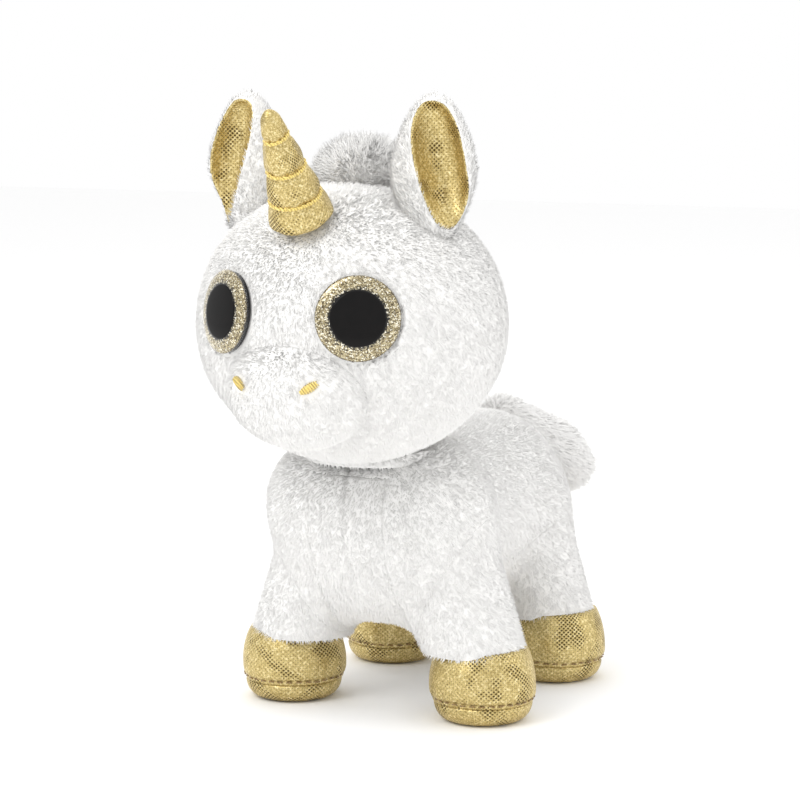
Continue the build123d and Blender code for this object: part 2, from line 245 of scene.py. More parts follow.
def glitterPaint(name, centre, pupilRadius, discRadius):
    # gold flakes under the lens, ragged black at the pupil, a dark line at the rim
    paint = Paint(name, Metallic=0.75, Coat_Weight=0.8, Coat_Roughness=0.04)
    place = paint.place()
    flakes = paint.node("ShaderNodeTexVoronoi", {"feature": "F1"},
                        {"Vector": place, "Scale": 1.0 / (0.26 * mm)})
    shine = paint.node("ShaderNodeSeparateColor", {}, {0: flakes["Color"]})["Red"]
    # painted glints: each flake's random value gives it a brightness from dark brown to near white; the same
    # value roughens the pupil's edge, roughness and bump
    gold = paint.ramp(shine,
                      (0.0, (0.07, 0.05, 0.02)), (0.45, (0.30, 0.24, 0.12)),
                      (0.80, (0.62, 0.54, 0.34)), (0.98, (1.0, 0.97, 0.85)))
    away = paint.node("ShaderNodeVectorMath", {"operation": "DISTANCE"},
                      {0: place, 1: tuple(centre * mm)})["Value"]
    ragged = away + (shine - 0.5) * (1.1 * mm)
    inner = paint.node("ShaderNodeMapRange", {}, {
        "Value": ragged, "From Min": (pupilRadius + 0.1) * mm, "From Max": (pupilRadius + 0.9) * mm})["Result"]
    rim = paint.node("ShaderNodeMapRange", {}, {
        "Value": away, "From Min": (discRadius - 0.55) * mm, "From Max": (discRadius - 0.1) * mm})["Result"]
    tint = paint.mix(inner, colour(0.003, 0.003, 0.003), gold)
    tint = paint.mix(rim * 0.75, tint, colour(0.05, 0.03, 0.01))
    return paint.finish(Base_Color=tint, Roughness=0.22 + 0.25 * shine,
                        Normal=paint.bump(shine, 0.12 * mm, 0.7))


def lensPaint(name):
    # clear plastic: mirror-like at its surface, else nothing
    paint = Paint(name)
    clear = paint.node("ShaderNodeBsdfTransparent", {}, {"Color": colour(1, 1, 1)})["BSDF"]
    shine = paint.node("ShaderNodeBsdfAnisotropic", {}, {"Color": colour(1, 1, 1), "Roughness": 0.03})["BSDF"]
    edge = paint.node("ShaderNodeFresnel", {}, {"IOR": 1.5})["Fac"]
    inside = paint.node("ShaderNodeNewGeometry")["Backfacing"]
    both = paint.node("ShaderNodeMixShader", {}, {0: edge * 0.7 * (1 - inside), 1: clear, 2: shine})["Shader"]
    paint.feed(paint.end.inputs["Surface"], both)
    return paint.material


def plasticPaint(name, tint, gloss):
    paint = Paint(name, Coat_Weight=0.3)
    grain = paint.noise(paint.place(), 0.6 * mm, 2.0)
    return paint.finish(Base_Color=paint.mix(grain, colour(*tint), colour(*(0.85 * part for part in tint))),
                        Roughness=gloss + 0.08 * grain, Normal=paint.bump(grain, 0.03 * mm, 0.5))


def ribbonPaint(name):
    # blank satin ribbon: a fine weave
    paint = Paint(name, Roughness=0.45, Sheen_Weight=0.4)
    weave = paint.node("ShaderNodeTexWave", {"bands_direction": "Z"},
                       {"Vector": paint.place(), "Scale": 900.0})["Fac"]
    return paint.finish(Base_Color=paint.mix(weave, colour(0.80, 0.79, 0.77), colour(0.93, 0.92, 0.90)),
                        Normal=paint.bump(weave, 0.05 * mm, 0.6))


def makePiece(name, points, faces, paint, body, clothPlaces=None, softNormals=None):
    # faces is a list of index arrays; clothPlaces gives the flat cloth position of every face corner
    mesh = bpy.data.meshes.new(name)
    mesh.vertices.add(len(points))
    mesh.vertices.foreach_set("co", (np.asarray(points) * mm).astype(np.float32).ravel())
    corners = np.concatenate([group.ravel() for group in faces]).astype(np.int32)
    sizes = np.concatenate([np.full(len(group), group.shape[1]) for group in faces])
    starts = np.concatenate([[0], np.cumsum(sizes)[:-1]]).astype(np.int32)
    mesh.loops.add(len(corners))
    mesh.loops.foreach_set("vertex_index", corners)
    mesh.polygons.add(len(sizes))
    mesh.polygons.foreach_set("loop_start", starts)
    mesh.update(calc_edges=True)
    mesh.polygons.foreach_set("use_smooth", np.ones(len(sizes), bool))
    if clothPlaces is not None:
        layer = mesh.uv_layers.new(name="cloth")
        layer.data.foreach_set("uv", (np.asarray(clothPlaces) * mm).astype(np.float32).ravel())
    if softNormals is not None:
        mesh.normals_split_custom_set_from_vertices(softNormals.astype(np.float32))
    mesh.materials.append(paint)
    piece = bpy.data.objects.new(name, mesh)
    bpy.context.scene.collection.objects.link(piece)
    if body:
        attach(piece, body)
    return piece


def blendIn(first, second, softness):
    # the union of two forms with a soft crease
    near = np.maximum(softness - np.abs(first - second), 0) / softness
    return np.minimum(first, second) - near * near * softness / 4


def carveOut(form, tool, softness):
    return -blendIn(-form, tool, softness)


def eggField(points, centre, radii):
    away = points - centre
    first = np.linalg.norm(away / radii, axis=1)
    second = np.linalg.norm(away / (radii * radii), axis=1)
    return first * (first - 1) / np.maximum(second, 1e-6)


def limbField(points, start, end, startRadius, endRadius):
    line = end - start
    share = np.clip((points - start) @ line / (line @ line), 0, 1)
    away = np.linalg.norm(points - start - share[:, None] * line, axis=1)
    return away - (startRadius + (endRadius - startRadius) * share)


def slopeOf(field, points, reach=0.05):
    slope = np.empty_like(points)
    for axis in range(3):
        offset = np.zeros(3)
        offset[axis] = reach
        slope[:, axis] = (field(points + offset) - field(points - offset)) / (2 * reach)
    return slope


def skinOf(field, low, high, step):
    # wraps a closed skin of triangles around the zero level of a field
    axes = [np.arange(start, end + step, step) for start, end in zip(low, high)]
    grid = np.stack(np.meshgrid(*axes, indexing="ij"), -1)
    inside = (field(grid.reshape(-1, 3)) < 0).reshape(grid.shape[:3])
    parts = [inside[a:a - 1 or None, b:b - 1 or None, c:c - 1 or None]
             for a in (0, 1) for b in (0, 1) for c in (0, 1)]
    count = sum(part.astype(np.int8) for part in parts)
    crossed = (count > 0) & (count < 8)
    number = np.full(crossed.shape, -1)
    number[crossed] = np.arange(crossed.sum())
    cells = np.argwhere(crossed)
    points = np.array([axis[0] for axis in axes]) + (cells + 0.5) * step
    home = points.copy()
    for turn in range(5):
        slope = slopeOf(field, points)
        points -= field(points)[:, None] * slope / np.maximum((slope * slope).sum(1), 0.05)[:, None]
        points = np.clip(points, home - 0.62 * step, home + 0.62 * step)
    quads = []
    for axis in range(3):
        one, two = [other for other in range(3) if other != axis]
        before = np.take(inside, range(inside.shape[axis] - 1), axis)
        after = np.take(inside, range(1, inside.shape[axis]), axis)
        edges = np.argwhere(before != after)
        leaving = before[tuple(edges.T)]
        within = (edges[:, one] > 0) & (edges[:, two] > 0)
        edges, leaving = edges[within], leaving[within]
        around = []
        for shiftOne, shiftTwo in ((1, 1), (0, 1), (0, 0), (1, 0)):
            cell = edges.copy()
            cell[:, one] -= shiftOne
            cell[:, two] -= shiftTwo
            around.append(number[tuple(cell.T)])
        quad = np.stack(around, 1)
        flip = leaving if axis == 1 else ~leaving
        quad[flip] = quad[flip][:, ::-1]
        quads.append(quad)
    quads = np.concatenate(quads)
    triangles = np.concatenate([quads[:, [0, 1, 2]], quads[:, [0, 2, 3]]])
    return points, triangles


def takePart(triangles, chosen):
    # the chosen triangles with only their own points
    triangles = triangles[chosen]
    used, numbers = np.unique(triangles, return_inverse=True)
    return used, numbers.reshape(triangles.shape)


def clothPanel(points, triangles, normals, thickness):
    # gives an open panel a back and an edge, so that it is a closed piece of cloth
    count = len(points)
    edges = np.concatenate([triangles[:, [0, 1]], triangles[:, [1, 2]], triangles[:, [2, 0]]])
    keys, first, uses = np.unique(np.sort(edges, 1), axis=0, return_index=True, return_counts=True)
    rim = edges[first[uses == 1]]
    edge = np.stack([rim[:, 1], rim[:, 0], rim[:, 0] + count, rim[:, 1] + count], 1)
    allPoints = np.concatenate([points, points - normals * thickness])
    return allPoints, [np.concatenate([triangles, triangles[:, ::-1] + count]), edge]


def growPile(name, points, triangles, normals, paint, body, pile, seed, keep=None):
    # short fibres, each a closed sliver standing on the skin and shaded like it
    random = np.random.default_rng(seed)
    corner = points[triangles]
    area = np.linalg.norm(np.cross(corner[:, 1] - corner[:, 0], corner[:, 2] - corner[:, 0]), axis=1) / 2
    share = 1.0
    count = min(int(area.sum() * pile["perSquare"] * share), 49000)
    chosen = random.choice(len(triangles), count, p=area / area.sum())
    first, second = random.random((2, count))
    over = first + second > 1
    first[over], second[over] = 1 - first[over], 1 - second[over]
    weights = np.stack([1 - first - second, first, second], 1)[:, :, None]
    root = (corner[chosen] * weights).sum(1)
    normal = unit((normals[triangles[chosen]] * weights).sum(1))
    if keep is not None:
        kept = keep(root)
        root, normal, count = root[kept], normal[kept], int(kept.sum())
    comb = np.asarray(pile["comb"], float)
    flow = comb - (normal @ comb)[:, None] * normal
    flow = flow / np.maximum(np.linalg.norm(flow, axis=1, keepdims=True), 0.12)
    lean = flow * pile["lean"] + random.normal(0, pile["scatter"], (count, 3))
    direction = unit(normal + lean)
    length = pile["length"] * random.uniform(0.6, 1.15, count)
    side = unit(np.cross(direction, normal) + random.normal(0, 0.02, (count, 3)))
    other = np.cross(side, direction)
    width = pile["width"] * random.uniform(0.7, 1.3, count)[:, None]
    foot = root - normal * 0.15
    spikes = np.empty((count, 4, 3))
    for corner, (sideways, rise) in enumerate(((1.0, 0.0), (0.0, -1.2), (-1.0, 0.0))):
        spikes[:, corner] = foot + width * (sideways * side + rise * other)
    spikes[:, 3] = root + direction * length[:, None]
    base = 4 * np.arange(count)[:, None]
    faces = np.concatenate([base + np.array(face) for face in ((0, 1, 3), (1, 2, 3), (2, 0, 3), (0, 2, 1))])
    soft = np.repeat(unit(0.5 * normal + other), 4, 0)
    return makePiece(name, spikes.reshape(-1, 3), [faces], paint, body, softNormals=soft)


def growStrands(name, roots, normals, paint, body, hair, seed):
    # long pile: bent tapering strands in soft locks
    random = np.random.default_rng(seed)
    count = len(roots)
    comb = np.asarray(hair["comb"], float)
    lockCount = max(1, count // hair["perLock"])
    lockPlace = roots[random.choice(count, lockCount)]
    nearest = np.empty(count, int)
    for start in range(0, count, 2000):
        part = roots[start:start + 2000]
        nearest[start:start + 2000] = ((part[:, None] - lockPlace[None]) ** 2).sum(2).argmin(1)
    lockLean = random.normal(0, hair["lockScatter"], (lockCount, 3))[nearest]
    flow = comb - (normals @ comb)[:, None] * normals
    direction = unit(normals + flow * hair["lean"] + lockLean + random.normal(0, hair["scatter"], (count, 3)))
    bend = flow * hair["droop"] + np.array([0, 0, -hair["weight"]]) + random.normal(0, 0.12, (count, 3))
    gather = (lockPlace[nearest] - roots) * hair["gather"]
    length = hair["length"] * random.uniform(0.55, 1.1, count)
    side = unit(np.cross(direction, normals) + random.normal(0, 0.05, (count, 3)))
    other = np.cross(side, direction)
    rings = 4
    points = []
    for ring in range(rings):
        along = ring / rings
        middle = roots + direction * (length * along)[:, None]
        middle = middle + bend * (length * along * along)[:, None] + gather * along
        if ring == 0:
            middle = middle - normals * 0.4
        width = hair["width"] * (1 - 0.75 * along)
        for sideways, rise in ((1.0, 0.3), (0.0, -1.0), (-1.0, 0.3)):
            points.append(middle + width * (sideways * side + rise * other))
    points.append(roots + direction * length[:, None] + bend * length[:, None] + gather)
    points = np.stack(points, 1)
    each = points.shape[1]
    faces = [(0, 2, 1)]
    for ring in range(rings - 1):
        for corner in range(3):
            low, high = 3 * ring + corner, 3 * ring + (corner + 1) % 3
            faces += [(low, high, high + 3), (low, high + 3, low + 3)]
    last = 3 * (rings - 1)
    faces += [(last + corner, last + (corner + 1) % 3, each - 1) for corner in range(3)]
    base = each * np.arange(count)[:, None]
    triangles = np.concatenate([base + np.array(face) for face in faces])
    soft = np.repeat(unit(normals + 0.3 * other), each, 0)
    return makePiece(name, points.reshape(-1, 3), [triangles], paint, body, softNormals=soft)


def turned(profile, start, axis, segments, swell=None):
    # turns an outline of (radius, height) about a line; closed at both ends on the line
    axis = unit(axis)
    side = unit(np.cross(axis, [0.3, 1.0, 0.2]))
    other = np.cross(axis, side)
    profile = np.asarray(profile, float)
    radii, heights = profile[1:-1, 0], profile[1:-1, 1]
    angle = np.arange(segments) * 2 * math.pi / segments
    spread = radii[:, None] * np.ones(segments)
    if swell is not None:
        spread = spread + swell(angle[None, :], heights[:, None])
    around = np.cos(angle)[:, None] * side + np.sin(angle)[:, None] * other
    rings = start + heights[:, None, None] * axis + spread[:, :, None] * around
    count = len(radii)
    ends = [start + profile[0, 1] * axis, start + profile[-1, 1] * axis]
    points = np.concatenate([rings.reshape(-1, 3), ends])
    step = np.concatenate([[0], np.cumsum(np.hypot(np.diff(profile[:, 0]), np.diff(profile[:, 1])))])
    meanRadius = radii.max() * 0.85
    quads, places = [], []
    for ring in range(count - 1):
        for segment in range(segments):
            after = (segment + 1) % segments
            quads.append((ring * segments + segment, ring * segments + after,
                          (ring + 1) * segments + after, (ring + 1) * segments + segment))
            left, right = angle[segment] * meanRadius, (angle[segment] + 2 * math.pi / segments) * meanRadius
            places += [(left, step[ring + 1]), (right, step[ring + 1]),
                       (right, step[ring + 2]), (left, step[ring + 2])]
    caps, capPlaces = [], []
    for segment in range(segments):
        after = (segment + 1) % segments
        left, right = angle[segment] * meanRadius, (angle[segment] + 2 * math.pi / segments) * meanRadius
        caps.append((after, segment, count * segments))
        capPlaces += [(right, step[1]), (left, step[1]), (left, step[0])]
        top = (count - 1) * segments
        caps.append((top + segment, top + after, count * segments + 1))
        capPlaces += [(left, step[-2]), (right, step[-2]), (left, step[-1])]
    return points, [np.array(quads), np.array(caps)], np.array(places + capPlaces)


def tube(path, radius, sides=8, closed=False):
    # a round thread along a path
    path = np.asarray(path, float)
    ahead = np.roll(path, -1, 0) - np.roll(path, 1, 0)
    if not closed:
        ahead[0], ahead[-1] = path[1] - path[0], path[-1] - path[-2]
    ahead = unit(ahead)
    side = unit(np.cross(ahead, [0.31, 0.22, 0.92]))
    other = np.cross(ahead, side)
    angle = np.arange(sides) * 2 * math.pi / sides
    radius = np.broadcast_to(radius, (len(path),))
    around = np.cos(angle)[None, :, None] * side[:, None] + np.sin(angle)[None, :, None] * other[:, None]
    rings = path[:, None] + radius[:, None, None] * around
    points = rings.reshape(-1, 3)
    count = len(path)
    quads = []
    for ring in range(count if closed else count - 1):
        following = (ring + 1) % count
        for corner in range(sides):
            after = (corner + 1) % sides
            quads.append((ring * sides + corner, ring * sides + after,
                          following * sides + after, following * sides + corner))
    caps = []
    if not closed:
        points = np.concatenate([points, [path[0], path[-1]]])
        for corner in range(sides):
            after = (corner + 1) % sides
            caps.append((after, corner, count * sides))
            caps.append(((count - 1) * sides + corner, (count - 1) * sides + after, count * sides + 1))
    return points, [np.array(quads)] + ([np.array(caps)] if caps else [])


def gathered(shapes):
    # several closed shapes in one piece
    points, groups, offset = [], {3: [], 4: []}, 0
    for shape, faces in shapes:
        points.append(shape)
        for group in faces:
            groups[group.shape[1]].append(group + offset)
        offset += len(shape)
    return np.concatenate(points), [np.concatenate(group) for group in groups.values() if group]


def splitAt(points, triangles, values, snap=0.12):
    # cuts the triangles along the line where values change sign
    values = np.where(np.abs(values) < snap, 0.0, values)
    side = np.sign(values)[triangles]
    whole = ~((side.min(1) < 0) & (side.max(1) > 0))
    kept, cut, side = triangles[whole], triangles[~whole], side[~whole]
    touching = (side == 0).any(1)
    alone = np.where(touching, np.argmax(side == 0, 1), np.argmax(side * side.sum(1, keepdims=True) < 0, 1))
    turn = (alone[:, None] + np.arange(3)) % 3
    cut = np.take_along_axis(cut, turn, 1)
    first = np.concatenate([cut[~touching][:, [0, 1]], cut[~touching][:, [0, 2]], cut[touching][:, [1, 2]]])
    keys, numbers = np.unique(np.sort(first, 1), axis=0, return_inverse=True)
    numbers = numbers.ravel() + len(points)
    share = (values[keys[:, 0]] / (values[keys[:, 0]] - values[keys[:, 1]]))[:, None]
    added = points[keys[:, 0]] * (1 - share) + points[keys[:, 1]] * share
    count = (~touching).sum()
    toSecond, toThird, across = numbers[:count], numbers[count:2 * count], numbers[2 * count:]
    plain, through = cut[~touching], cut[touching]
    made = [kept,
            np.stack([plain[:, 0], toSecond, toThird], 1),
            np.stack([toSecond, plain[:, 1], plain[:, 2]], 1),
            np.stack([toSecond, plain[:, 2], toThird], 1),
            np.stack([through[:, 0], through[:, 1], across], 1),
            np.stack([through[:, 0], across, through[:, 2]], 1)]
    return np.concatenate([points, added]), np.concatenate(made)


def hooped(section, start, axis, segments):
    # carries a closed outline of (radius, height) round a line
    axis = unit(axis)
    side = unit(np.cross(axis, [0.3, 1.0, 0.2]))
    other = np.cross(axis, side)
    angle = np.arange(segments) * 2 * math.pi / segments
    around = np.cos(angle)[:, None] * side + np.sin(angle)[:, None] * other
    section = np.asarray(section, float)
    points = start + section[None, :, 0, None] * around[:, None] + section[None, :, 1, None] * axis
    count = len(section)
    here = np.arange(segments)[:, None] * count + np.arange(count)
    after = np.roll(here, -1, 1)
    quads = np.stack([here, np.roll(here, -1, 0), np.roll(after, -1, 0), after], -1)
    return points.reshape(-1, 3), [quads.reshape(-1, 4)]


def capsule(start, end, radius):
    # one thread end to end, round at both ends
    share = np.array([-0.02, 0.03, 0.15, 0.5, 0.85, 0.97, 1.02])[:, None]
    return tube(start + (end - start) * share, radius * np.array([0.3, 0.7, 1, 1, 1, 0.7, 0.3]), 6)


whitePlush = plushPaint("white plush")
longPlush = plushPaint("long pile plush", 1.01)
goldFoil = foilPaint("gold foil cloth")
goldThread = threadPaint("gold thread", (0.86, 0.64, 0.20))
brownThread = threadPaint("brown gold thread", (0.26, 0.16, 0.05))
blackPlastic = plasticPaint("black plastic", (0.012, 0.012, 0.013), 0.12)
washerPlastic = plasticPaint("white plastic", (0.72, 0.72, 0.70), 0.4)
clearLens = lensPaint("clear lens")
pupilBlack = Paint("pupil black", Specular_IOR_Level=0.0, Coat_Weight=0.35, Coat_Roughness=0.04)
soot = pupilBlack.noise(pupilBlack.place(), 2.0 * mm, 2.0)
pupilBlack.finish(Base_Color=pupilBlack.mix(soot,
                                            colour(0.002, 0.002, 0.002), colour(0.005, 0.004, 0.004)),
                  Roughness=0.4 + 0.2 * soot)
satinRibbon = ribbonPaint("satin ribbon")
print("finishes made")


plush = {
    "inset": 0.7,            # the cloth lies this far inside the outline, the pile stands proud of it
    "thick": 0.8,
    "fill": 0.8,
    "step": 1.1,             # size of the cloth's triangles
    "pile": {"perSquare": 6.0, "length": 1.2, "width": 0.125,
             "lean": 1.35, "scatter": 0.13, "comb": (0, 0.5, -0.8)},
}


def plushSkin(name, field, points, triangles, body, stands, seed, blend=None, keep=None):
    # one panel of plush: its cloth and its pile
    normals = unit(slopeOf(field, points))
    panel, faces = clothPanel(points, triangles, normals, plush["thick"])
    cloth = makePiece(name, panel, faces, whitePlush, None)
    pile = growPile(name + "_pile", points, triangles, normals, whitePlush, None,
                    plush["pile"], seed, keep=keep)
    for piece in (cloth, pile):
        if blend:
            first, start, end = blend
            tuple(start * mm)
            tuple(end * mm)
            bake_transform(piece)
        else:
            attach(piece, body)
    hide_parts(*stands)


neckPivot = jointPlace("head_turn")
faceLow, faceHigh = nodeBox("face_panel")
muzzleLow, muzzleHigh = nodeBox("muzzle_cover")
head = {
    "seamBehind": 5.0,       # seam between face and back, behind the head's middle
    "muzzleRadii": np.array([18.6, 15.2, 14.6]),
    "muzzleHeight": 83.4,
    "crease": 2.4, "creaseDepth": 0.75,
    "hollow": 21.4,          # round the neck
    "eyePlace": (17.2, -72.8, 100.6),
    "eyeTurn": 29.0,
    "eyeTilt": 6.0,
    "eyePocket": 10.05,
    "groove": 0.55,
}
nostril = {"place": (9.1, 85.4), "long": 4.0, "wide": 2.0, "slant": 35.0, "threads": 9, "thread": 0.27}
headRadii = np.array([faceHigh[0], (faceHigh[2] - faceLow[2]) / 2, (faceHigh[2] - faceLow[2]) / 2])
headCentre = np.array([0, faceHigh[1] - head["seamBehind"], (faceHigh[2] + faceLow[2]) / 2])
muzzleCentre = np.array([0, muzzleLow[1] + head["muzzleRadii"][1] - 0.8, head["muzzleHeight"]])
turn, tilt = math.radians(head["eyeTurn"]), math.radians(head["eyeTilt"])
eyeForward = np.array([math.sin(turn) * math.cos(tilt), -math.cos(turn) * math.cos(tilt), math.sin(tilt)])
eyeCentre = np.array(head["eyePlace"])


def fromEye(points, side):
    # how far points lie in front of an eye and off its line
    away = points - eyeCentre * [side, 1, 1]
    ahead = away @ (eyeForward * [side, 1, 1])
    return ahead, np.sqrt(np.maximum((away * away).sum(1) - ahead * ahead, 0))


def headField(points):
    form = eggField(points, headCentre, headRadii - plush["inset"])
    muzzle = eggField(points, muzzleCentre, head["muzzleRadii"] - plush["inset"])
    crease = np.exp(-((form - muzzle) / 2.2) ** 2) * head["creaseDepth"]
    form = blendIn(form, muzzle, head["crease"]) + crease
    seam = np.exp(-((points[:, 1] - faceHigh[1]) / 0.9) ** 2)
    lumps = 0.25 * np.sin(points[:, 0] * 0.21 + 1.3) * np.sin(points[:, 2] * 0.17) * np.sin(points[:, 1] * 0.18)
    form = form + head["groove"] * seam - lumps
    for side in (1, -1):
        ahead, across = fromEye(points, side)
        form = carveOut(form, np.maximum(across - head["eyePocket"], -ahead - 1.05), 0.7)
    return carveOut(form, np.linalg.norm(points - neckPivot, axis=1) - head["hollow"], 1.5)


boxLow = np.array([-headRadii[0], muzzleLow[1], faceLow[2]]) - 3
boxHigh = np.array([headRadii[0], headCentre[1] + headRadii[1], faceHigh[2]]) + 3
points, triangles = skinOf(headField, boxLow, boxHigh, plush["step"])
points, triangles = splitAt(points, triangles, points[:, 1] - faceHigh[1])


def muzzleSide(points):
    # below zero on the muzzle's own cloth
    muzzle = eggField(points, muzzleCentre, head["muzzleRadii"] - plush["inset"])
    return muzzle - eggField(points, headCentre, headRadii - plush["inset"])


points, triangles = splitAt(points, triangles, muzzleSide(points))


def clearOfFace(roots):
    # no pile under the lenses or through the nostril threads
    clear = np.ones(len(roots), bool)
    for side in (1, -1):
        ahead, across = fromEye(roots, side)
        clear &= (across > head["eyePocket"] - 0.1) | (ahead < -4)
        nose = roots[:, [0, 2]] - np.array([nostril["place"][0] * side, nostril["place"][1]])
        slant = math.radians(nostril["slant"])
        long = nose[:, 0] * side * math.cos(slant) + nose[:, 1] * math.sin(slant)
        wide = -nose[:, 0] * side * math.sin(slant) + nose[:, 1] * math.cos(slant)
        long, wide = long / (nostril["long"] / 2 + 0.5), wide / (nostril["wide"] / 2 + 0.6)
        clear &= (long ** 2 + wide ** 2 > 1) | (roots[:, 1] > -70)
    return clear


middle = points[triangles].mean(1)
onBack = middle[:, 1] > faceHigh[1]
onMuzzle = (muzzleSide(middle) < 0) & (middle[:, 1] < headCentre[1])
for name, chosen, stands, seed in (
        ("face_plush", ~onBack & ~onMuzzle, ("face_panel", "head_stuffing"), 11),
        ("head_back_plush", onBack, ("head_back_panel",), 12),
        ("muzzle_plush", onMuzzle, ("muzzle_cover", "muzzle_stuffing"), 13)):
    used, part = takePart(triangles, chosen)
    plushSkin(name, headField, points[used], part, "head", stands, seed=seed, keep=clearOfFace)
print("head made")


torso = {
    "middle": 44.4, "radius": 23.6, "front": -46.2, "back": 44.8, "rounding": 20.0,
    "headGap": 0.5, "wall": 1.2,
    "neckBall": 17.6, "chest": (0, -30.0, 50.5), "chestRadii": (29.5, 19.0, 20.5),
    "gusset": 10.0,
    "gussetTop": 60.0,
    "rump": 28.0,            # the gusset ends here
}
legs = {
    "front": {"thigh": 14.6, "ankle": 11.2, "rise": 13.0,
              "cutAxis": (0.86, 0, -0.51), "cut": -3.0, "straight": 5.5, "hoofOut": 4.8},
    "rear": {"thigh": 14.4, "ankle": 10.7, "rise": 11.5,
             "cutAxis": (0.80, 0, -0.60), "cut": -1.0, "straight": 7.0, "hoofOut": 4.8},
}
ankleHeight = 12.0
legReach = 20.0              # the leg's cloth ends this far before and behind its joint
legNames = [(end, side) for end in ("front", "rear") for side in ("left", "right")]


def legLine(end, side):
    turn = np.array([1 if side == "left" else -1, 1, 1])
    joint = jointPlace(f"{end}_{side}_leg_swing")
    hoof = joint + np.array([legs[end]["hoofOut"], 0, 0]) * turn
    hoof[2] = 0
    thigh = joint + unit([-0.6, 0, 0.8]) * legs[end]["rise"] * turn
    return joint, thigh, hoof, turn


def torsoOnly(points):
    inset, radius, rounding = plush["inset"], torso["radius"], torso["rounding"]
    half, centre = (torso["back"] - torso["front"]) / 2, (torso["back"] + torso["front"]) / 2
    across = np.hypot(points[:, 0], points[:, 2] - torso["middle"]) - (radius - rounding)
    along = np.abs(points[:, 1] - centre) - (half - rounding)
    beyond = np.hypot(np.maximum(across, 0), np.maximum(along, 0))
    return np.minimum(np.maximum(across, along), 0) + beyond - rounding + inset


def torsoField(points):
    form = torsoOnly(points)
    for end, side in legNames:
        joint, thigh, hoof, turn = legLine(end, side)
        ankle = hoof + [0, 0, ankleHeight]
        leg = limbField(points, thigh, ankle, legs[end]["thigh"] - plush["inset"], legs[end]["ankle"])
        form = blendIn(form, leg, 7.0)
    chest = eggField(points, np.array(torso["chest"]), np.array(torso["chestRadii"]))
    form = blendIn(form, chest, 6.0)
    form = carveOut(form, eggField(points, headCentre, headRadii + torso["headGap"]), 2.0)
    form = blendIn(form, np.linalg.norm(points - neckPivot, axis=1) - torso["neckBall"], 1.5)
    chest = np.clip((-34 - points[:, 1]) / 4, 0, 1) * np.clip((points[:, 2] - 26) / 4, 0, 1)
    onGusset = np.exp(-((np.abs(points[:, 0]) - torso["gusset"]) / 0.9) ** 2)
    onGusset = onGusset * (points[:, 2] < torso["gussetTop"]) * (points[:, 1] < torso["rump"]) * (1 - chest)
    upper = (points[:, 2] > torso["gussetTop"]) | (points[:, 1] > torso["rump"])
    onSpine = np.exp(-(points[:, 0] / 0.8) ** 2) * np.maximum(upper, 0.75 * chest)
    return form + head["groove"] * np.maximum(onGusset, onSpine)


def offLeg(points, joint, axis, cut):
    # below zero on the part of the cloth that is cut off as the leg's own panel
    return np.maximum(cut - (points - joint) @ axis, np.abs(points[:, 1] - joint[1]) - legReach)


low = np.array([-38.0, torso["front"] - 8, 6.0])
high = np.array([38.0, torso["back"] + 2, torso["middle"] + torso["radius"] + 9])
points, triangles = skinOf(torsoField, low, high, plush["step"])
hoofTop = nodeBox("front_left_hoof_upper")[1][2]
legSkins = {}
cuffs = hoofTop + 0.4
points, triangles = splitAt(points, triangles, points[:, 2] - cuffs)
middle = points[triangles].mean(1)
triangles = triangles[middle[:, 2] > cuffs]
for end, side in legNames:
    joint, thigh, hoof, turn = legLine(end, side)
    axis = unit(legs[end]["cutAxis"]) * turn
    points, triangles = splitAt(points, triangles, offLeg(points, joint, axis, legs[end]["cut"]))
    middle = points[triangles].mean(1)
    own = offLeg(middle, joint, axis, legs[end]["cut"]) < 0
    own &= middle[:, 0] * turn[0] > 0
    used, part = takePart(triangles, own)
    legSkins[end, side] = points[used], part
    triangles = triangles[~own]
below = (points[:, 2] < torso["gussetTop"]) & (points[:, 1] < torso["rump"])
points, triangles = splitAt(points, triangles, np.where(below, np.abs(points[:, 0]) - torso["gusset"], 1.0))
points, triangles = splitAt(points, triangles, points[:, 0])
middle = points[triangles].mean(1)
onGusset = (np.abs(middle[:, 0]) < torso["gusset"]) & (middle[:, 2] < torso["gussetTop"])
onGusset &= middle[:, 1] < torso["rump"]
for name, chosen, stands, seed in (
        ("torso_left_plush", ~onGusset & (middle[:, 0] > 0), ("torso_side_left", "torso_stuffing"), 21),
        ("torso_right_plush", ~onGusset & (middle[:, 0] <= 0), ("torso_side_right",), 22),
        ("chest_belly_plush", onGusset, ("chest_belly_gusset",), 23)):
    used, part = takePart(triangles, chosen)
    plushSkin(name, torsoField, points[used], part, "torso", stands, seed=seed)


def coreField(points):
    wall = torso["wall"]
    hollow = eggField(points, headCentre, headRadii + torso["headGap"] + wall)
    return carveOut(torsoOnly(points) + wall, hollow, 2.0)


points, triangles = skinOf(coreField, low, high, 2.0)
makePiece("torso_filling", points, [triangles], whitePlush, "torso")

for number, (end, side) in enumerate(legNames):
    joint, thigh, hoof, turn = legLine(end, side)
    axis = unit(legs[end]["cutAxis"]) * turn
    body = f"{end}_{side}_leg"
    points, triangles = legSkins[end, side]
    plushSkin(f"{body}_plush", torsoField, points, triangles, body,
              (f"{body}_cover", f"{body}_stuffing"), seed=31 + number,
              blend=("torso", joint + axis * legs[end]["cut"], joint + axis * legs[end]["straight"]))
print("torso and legs made")


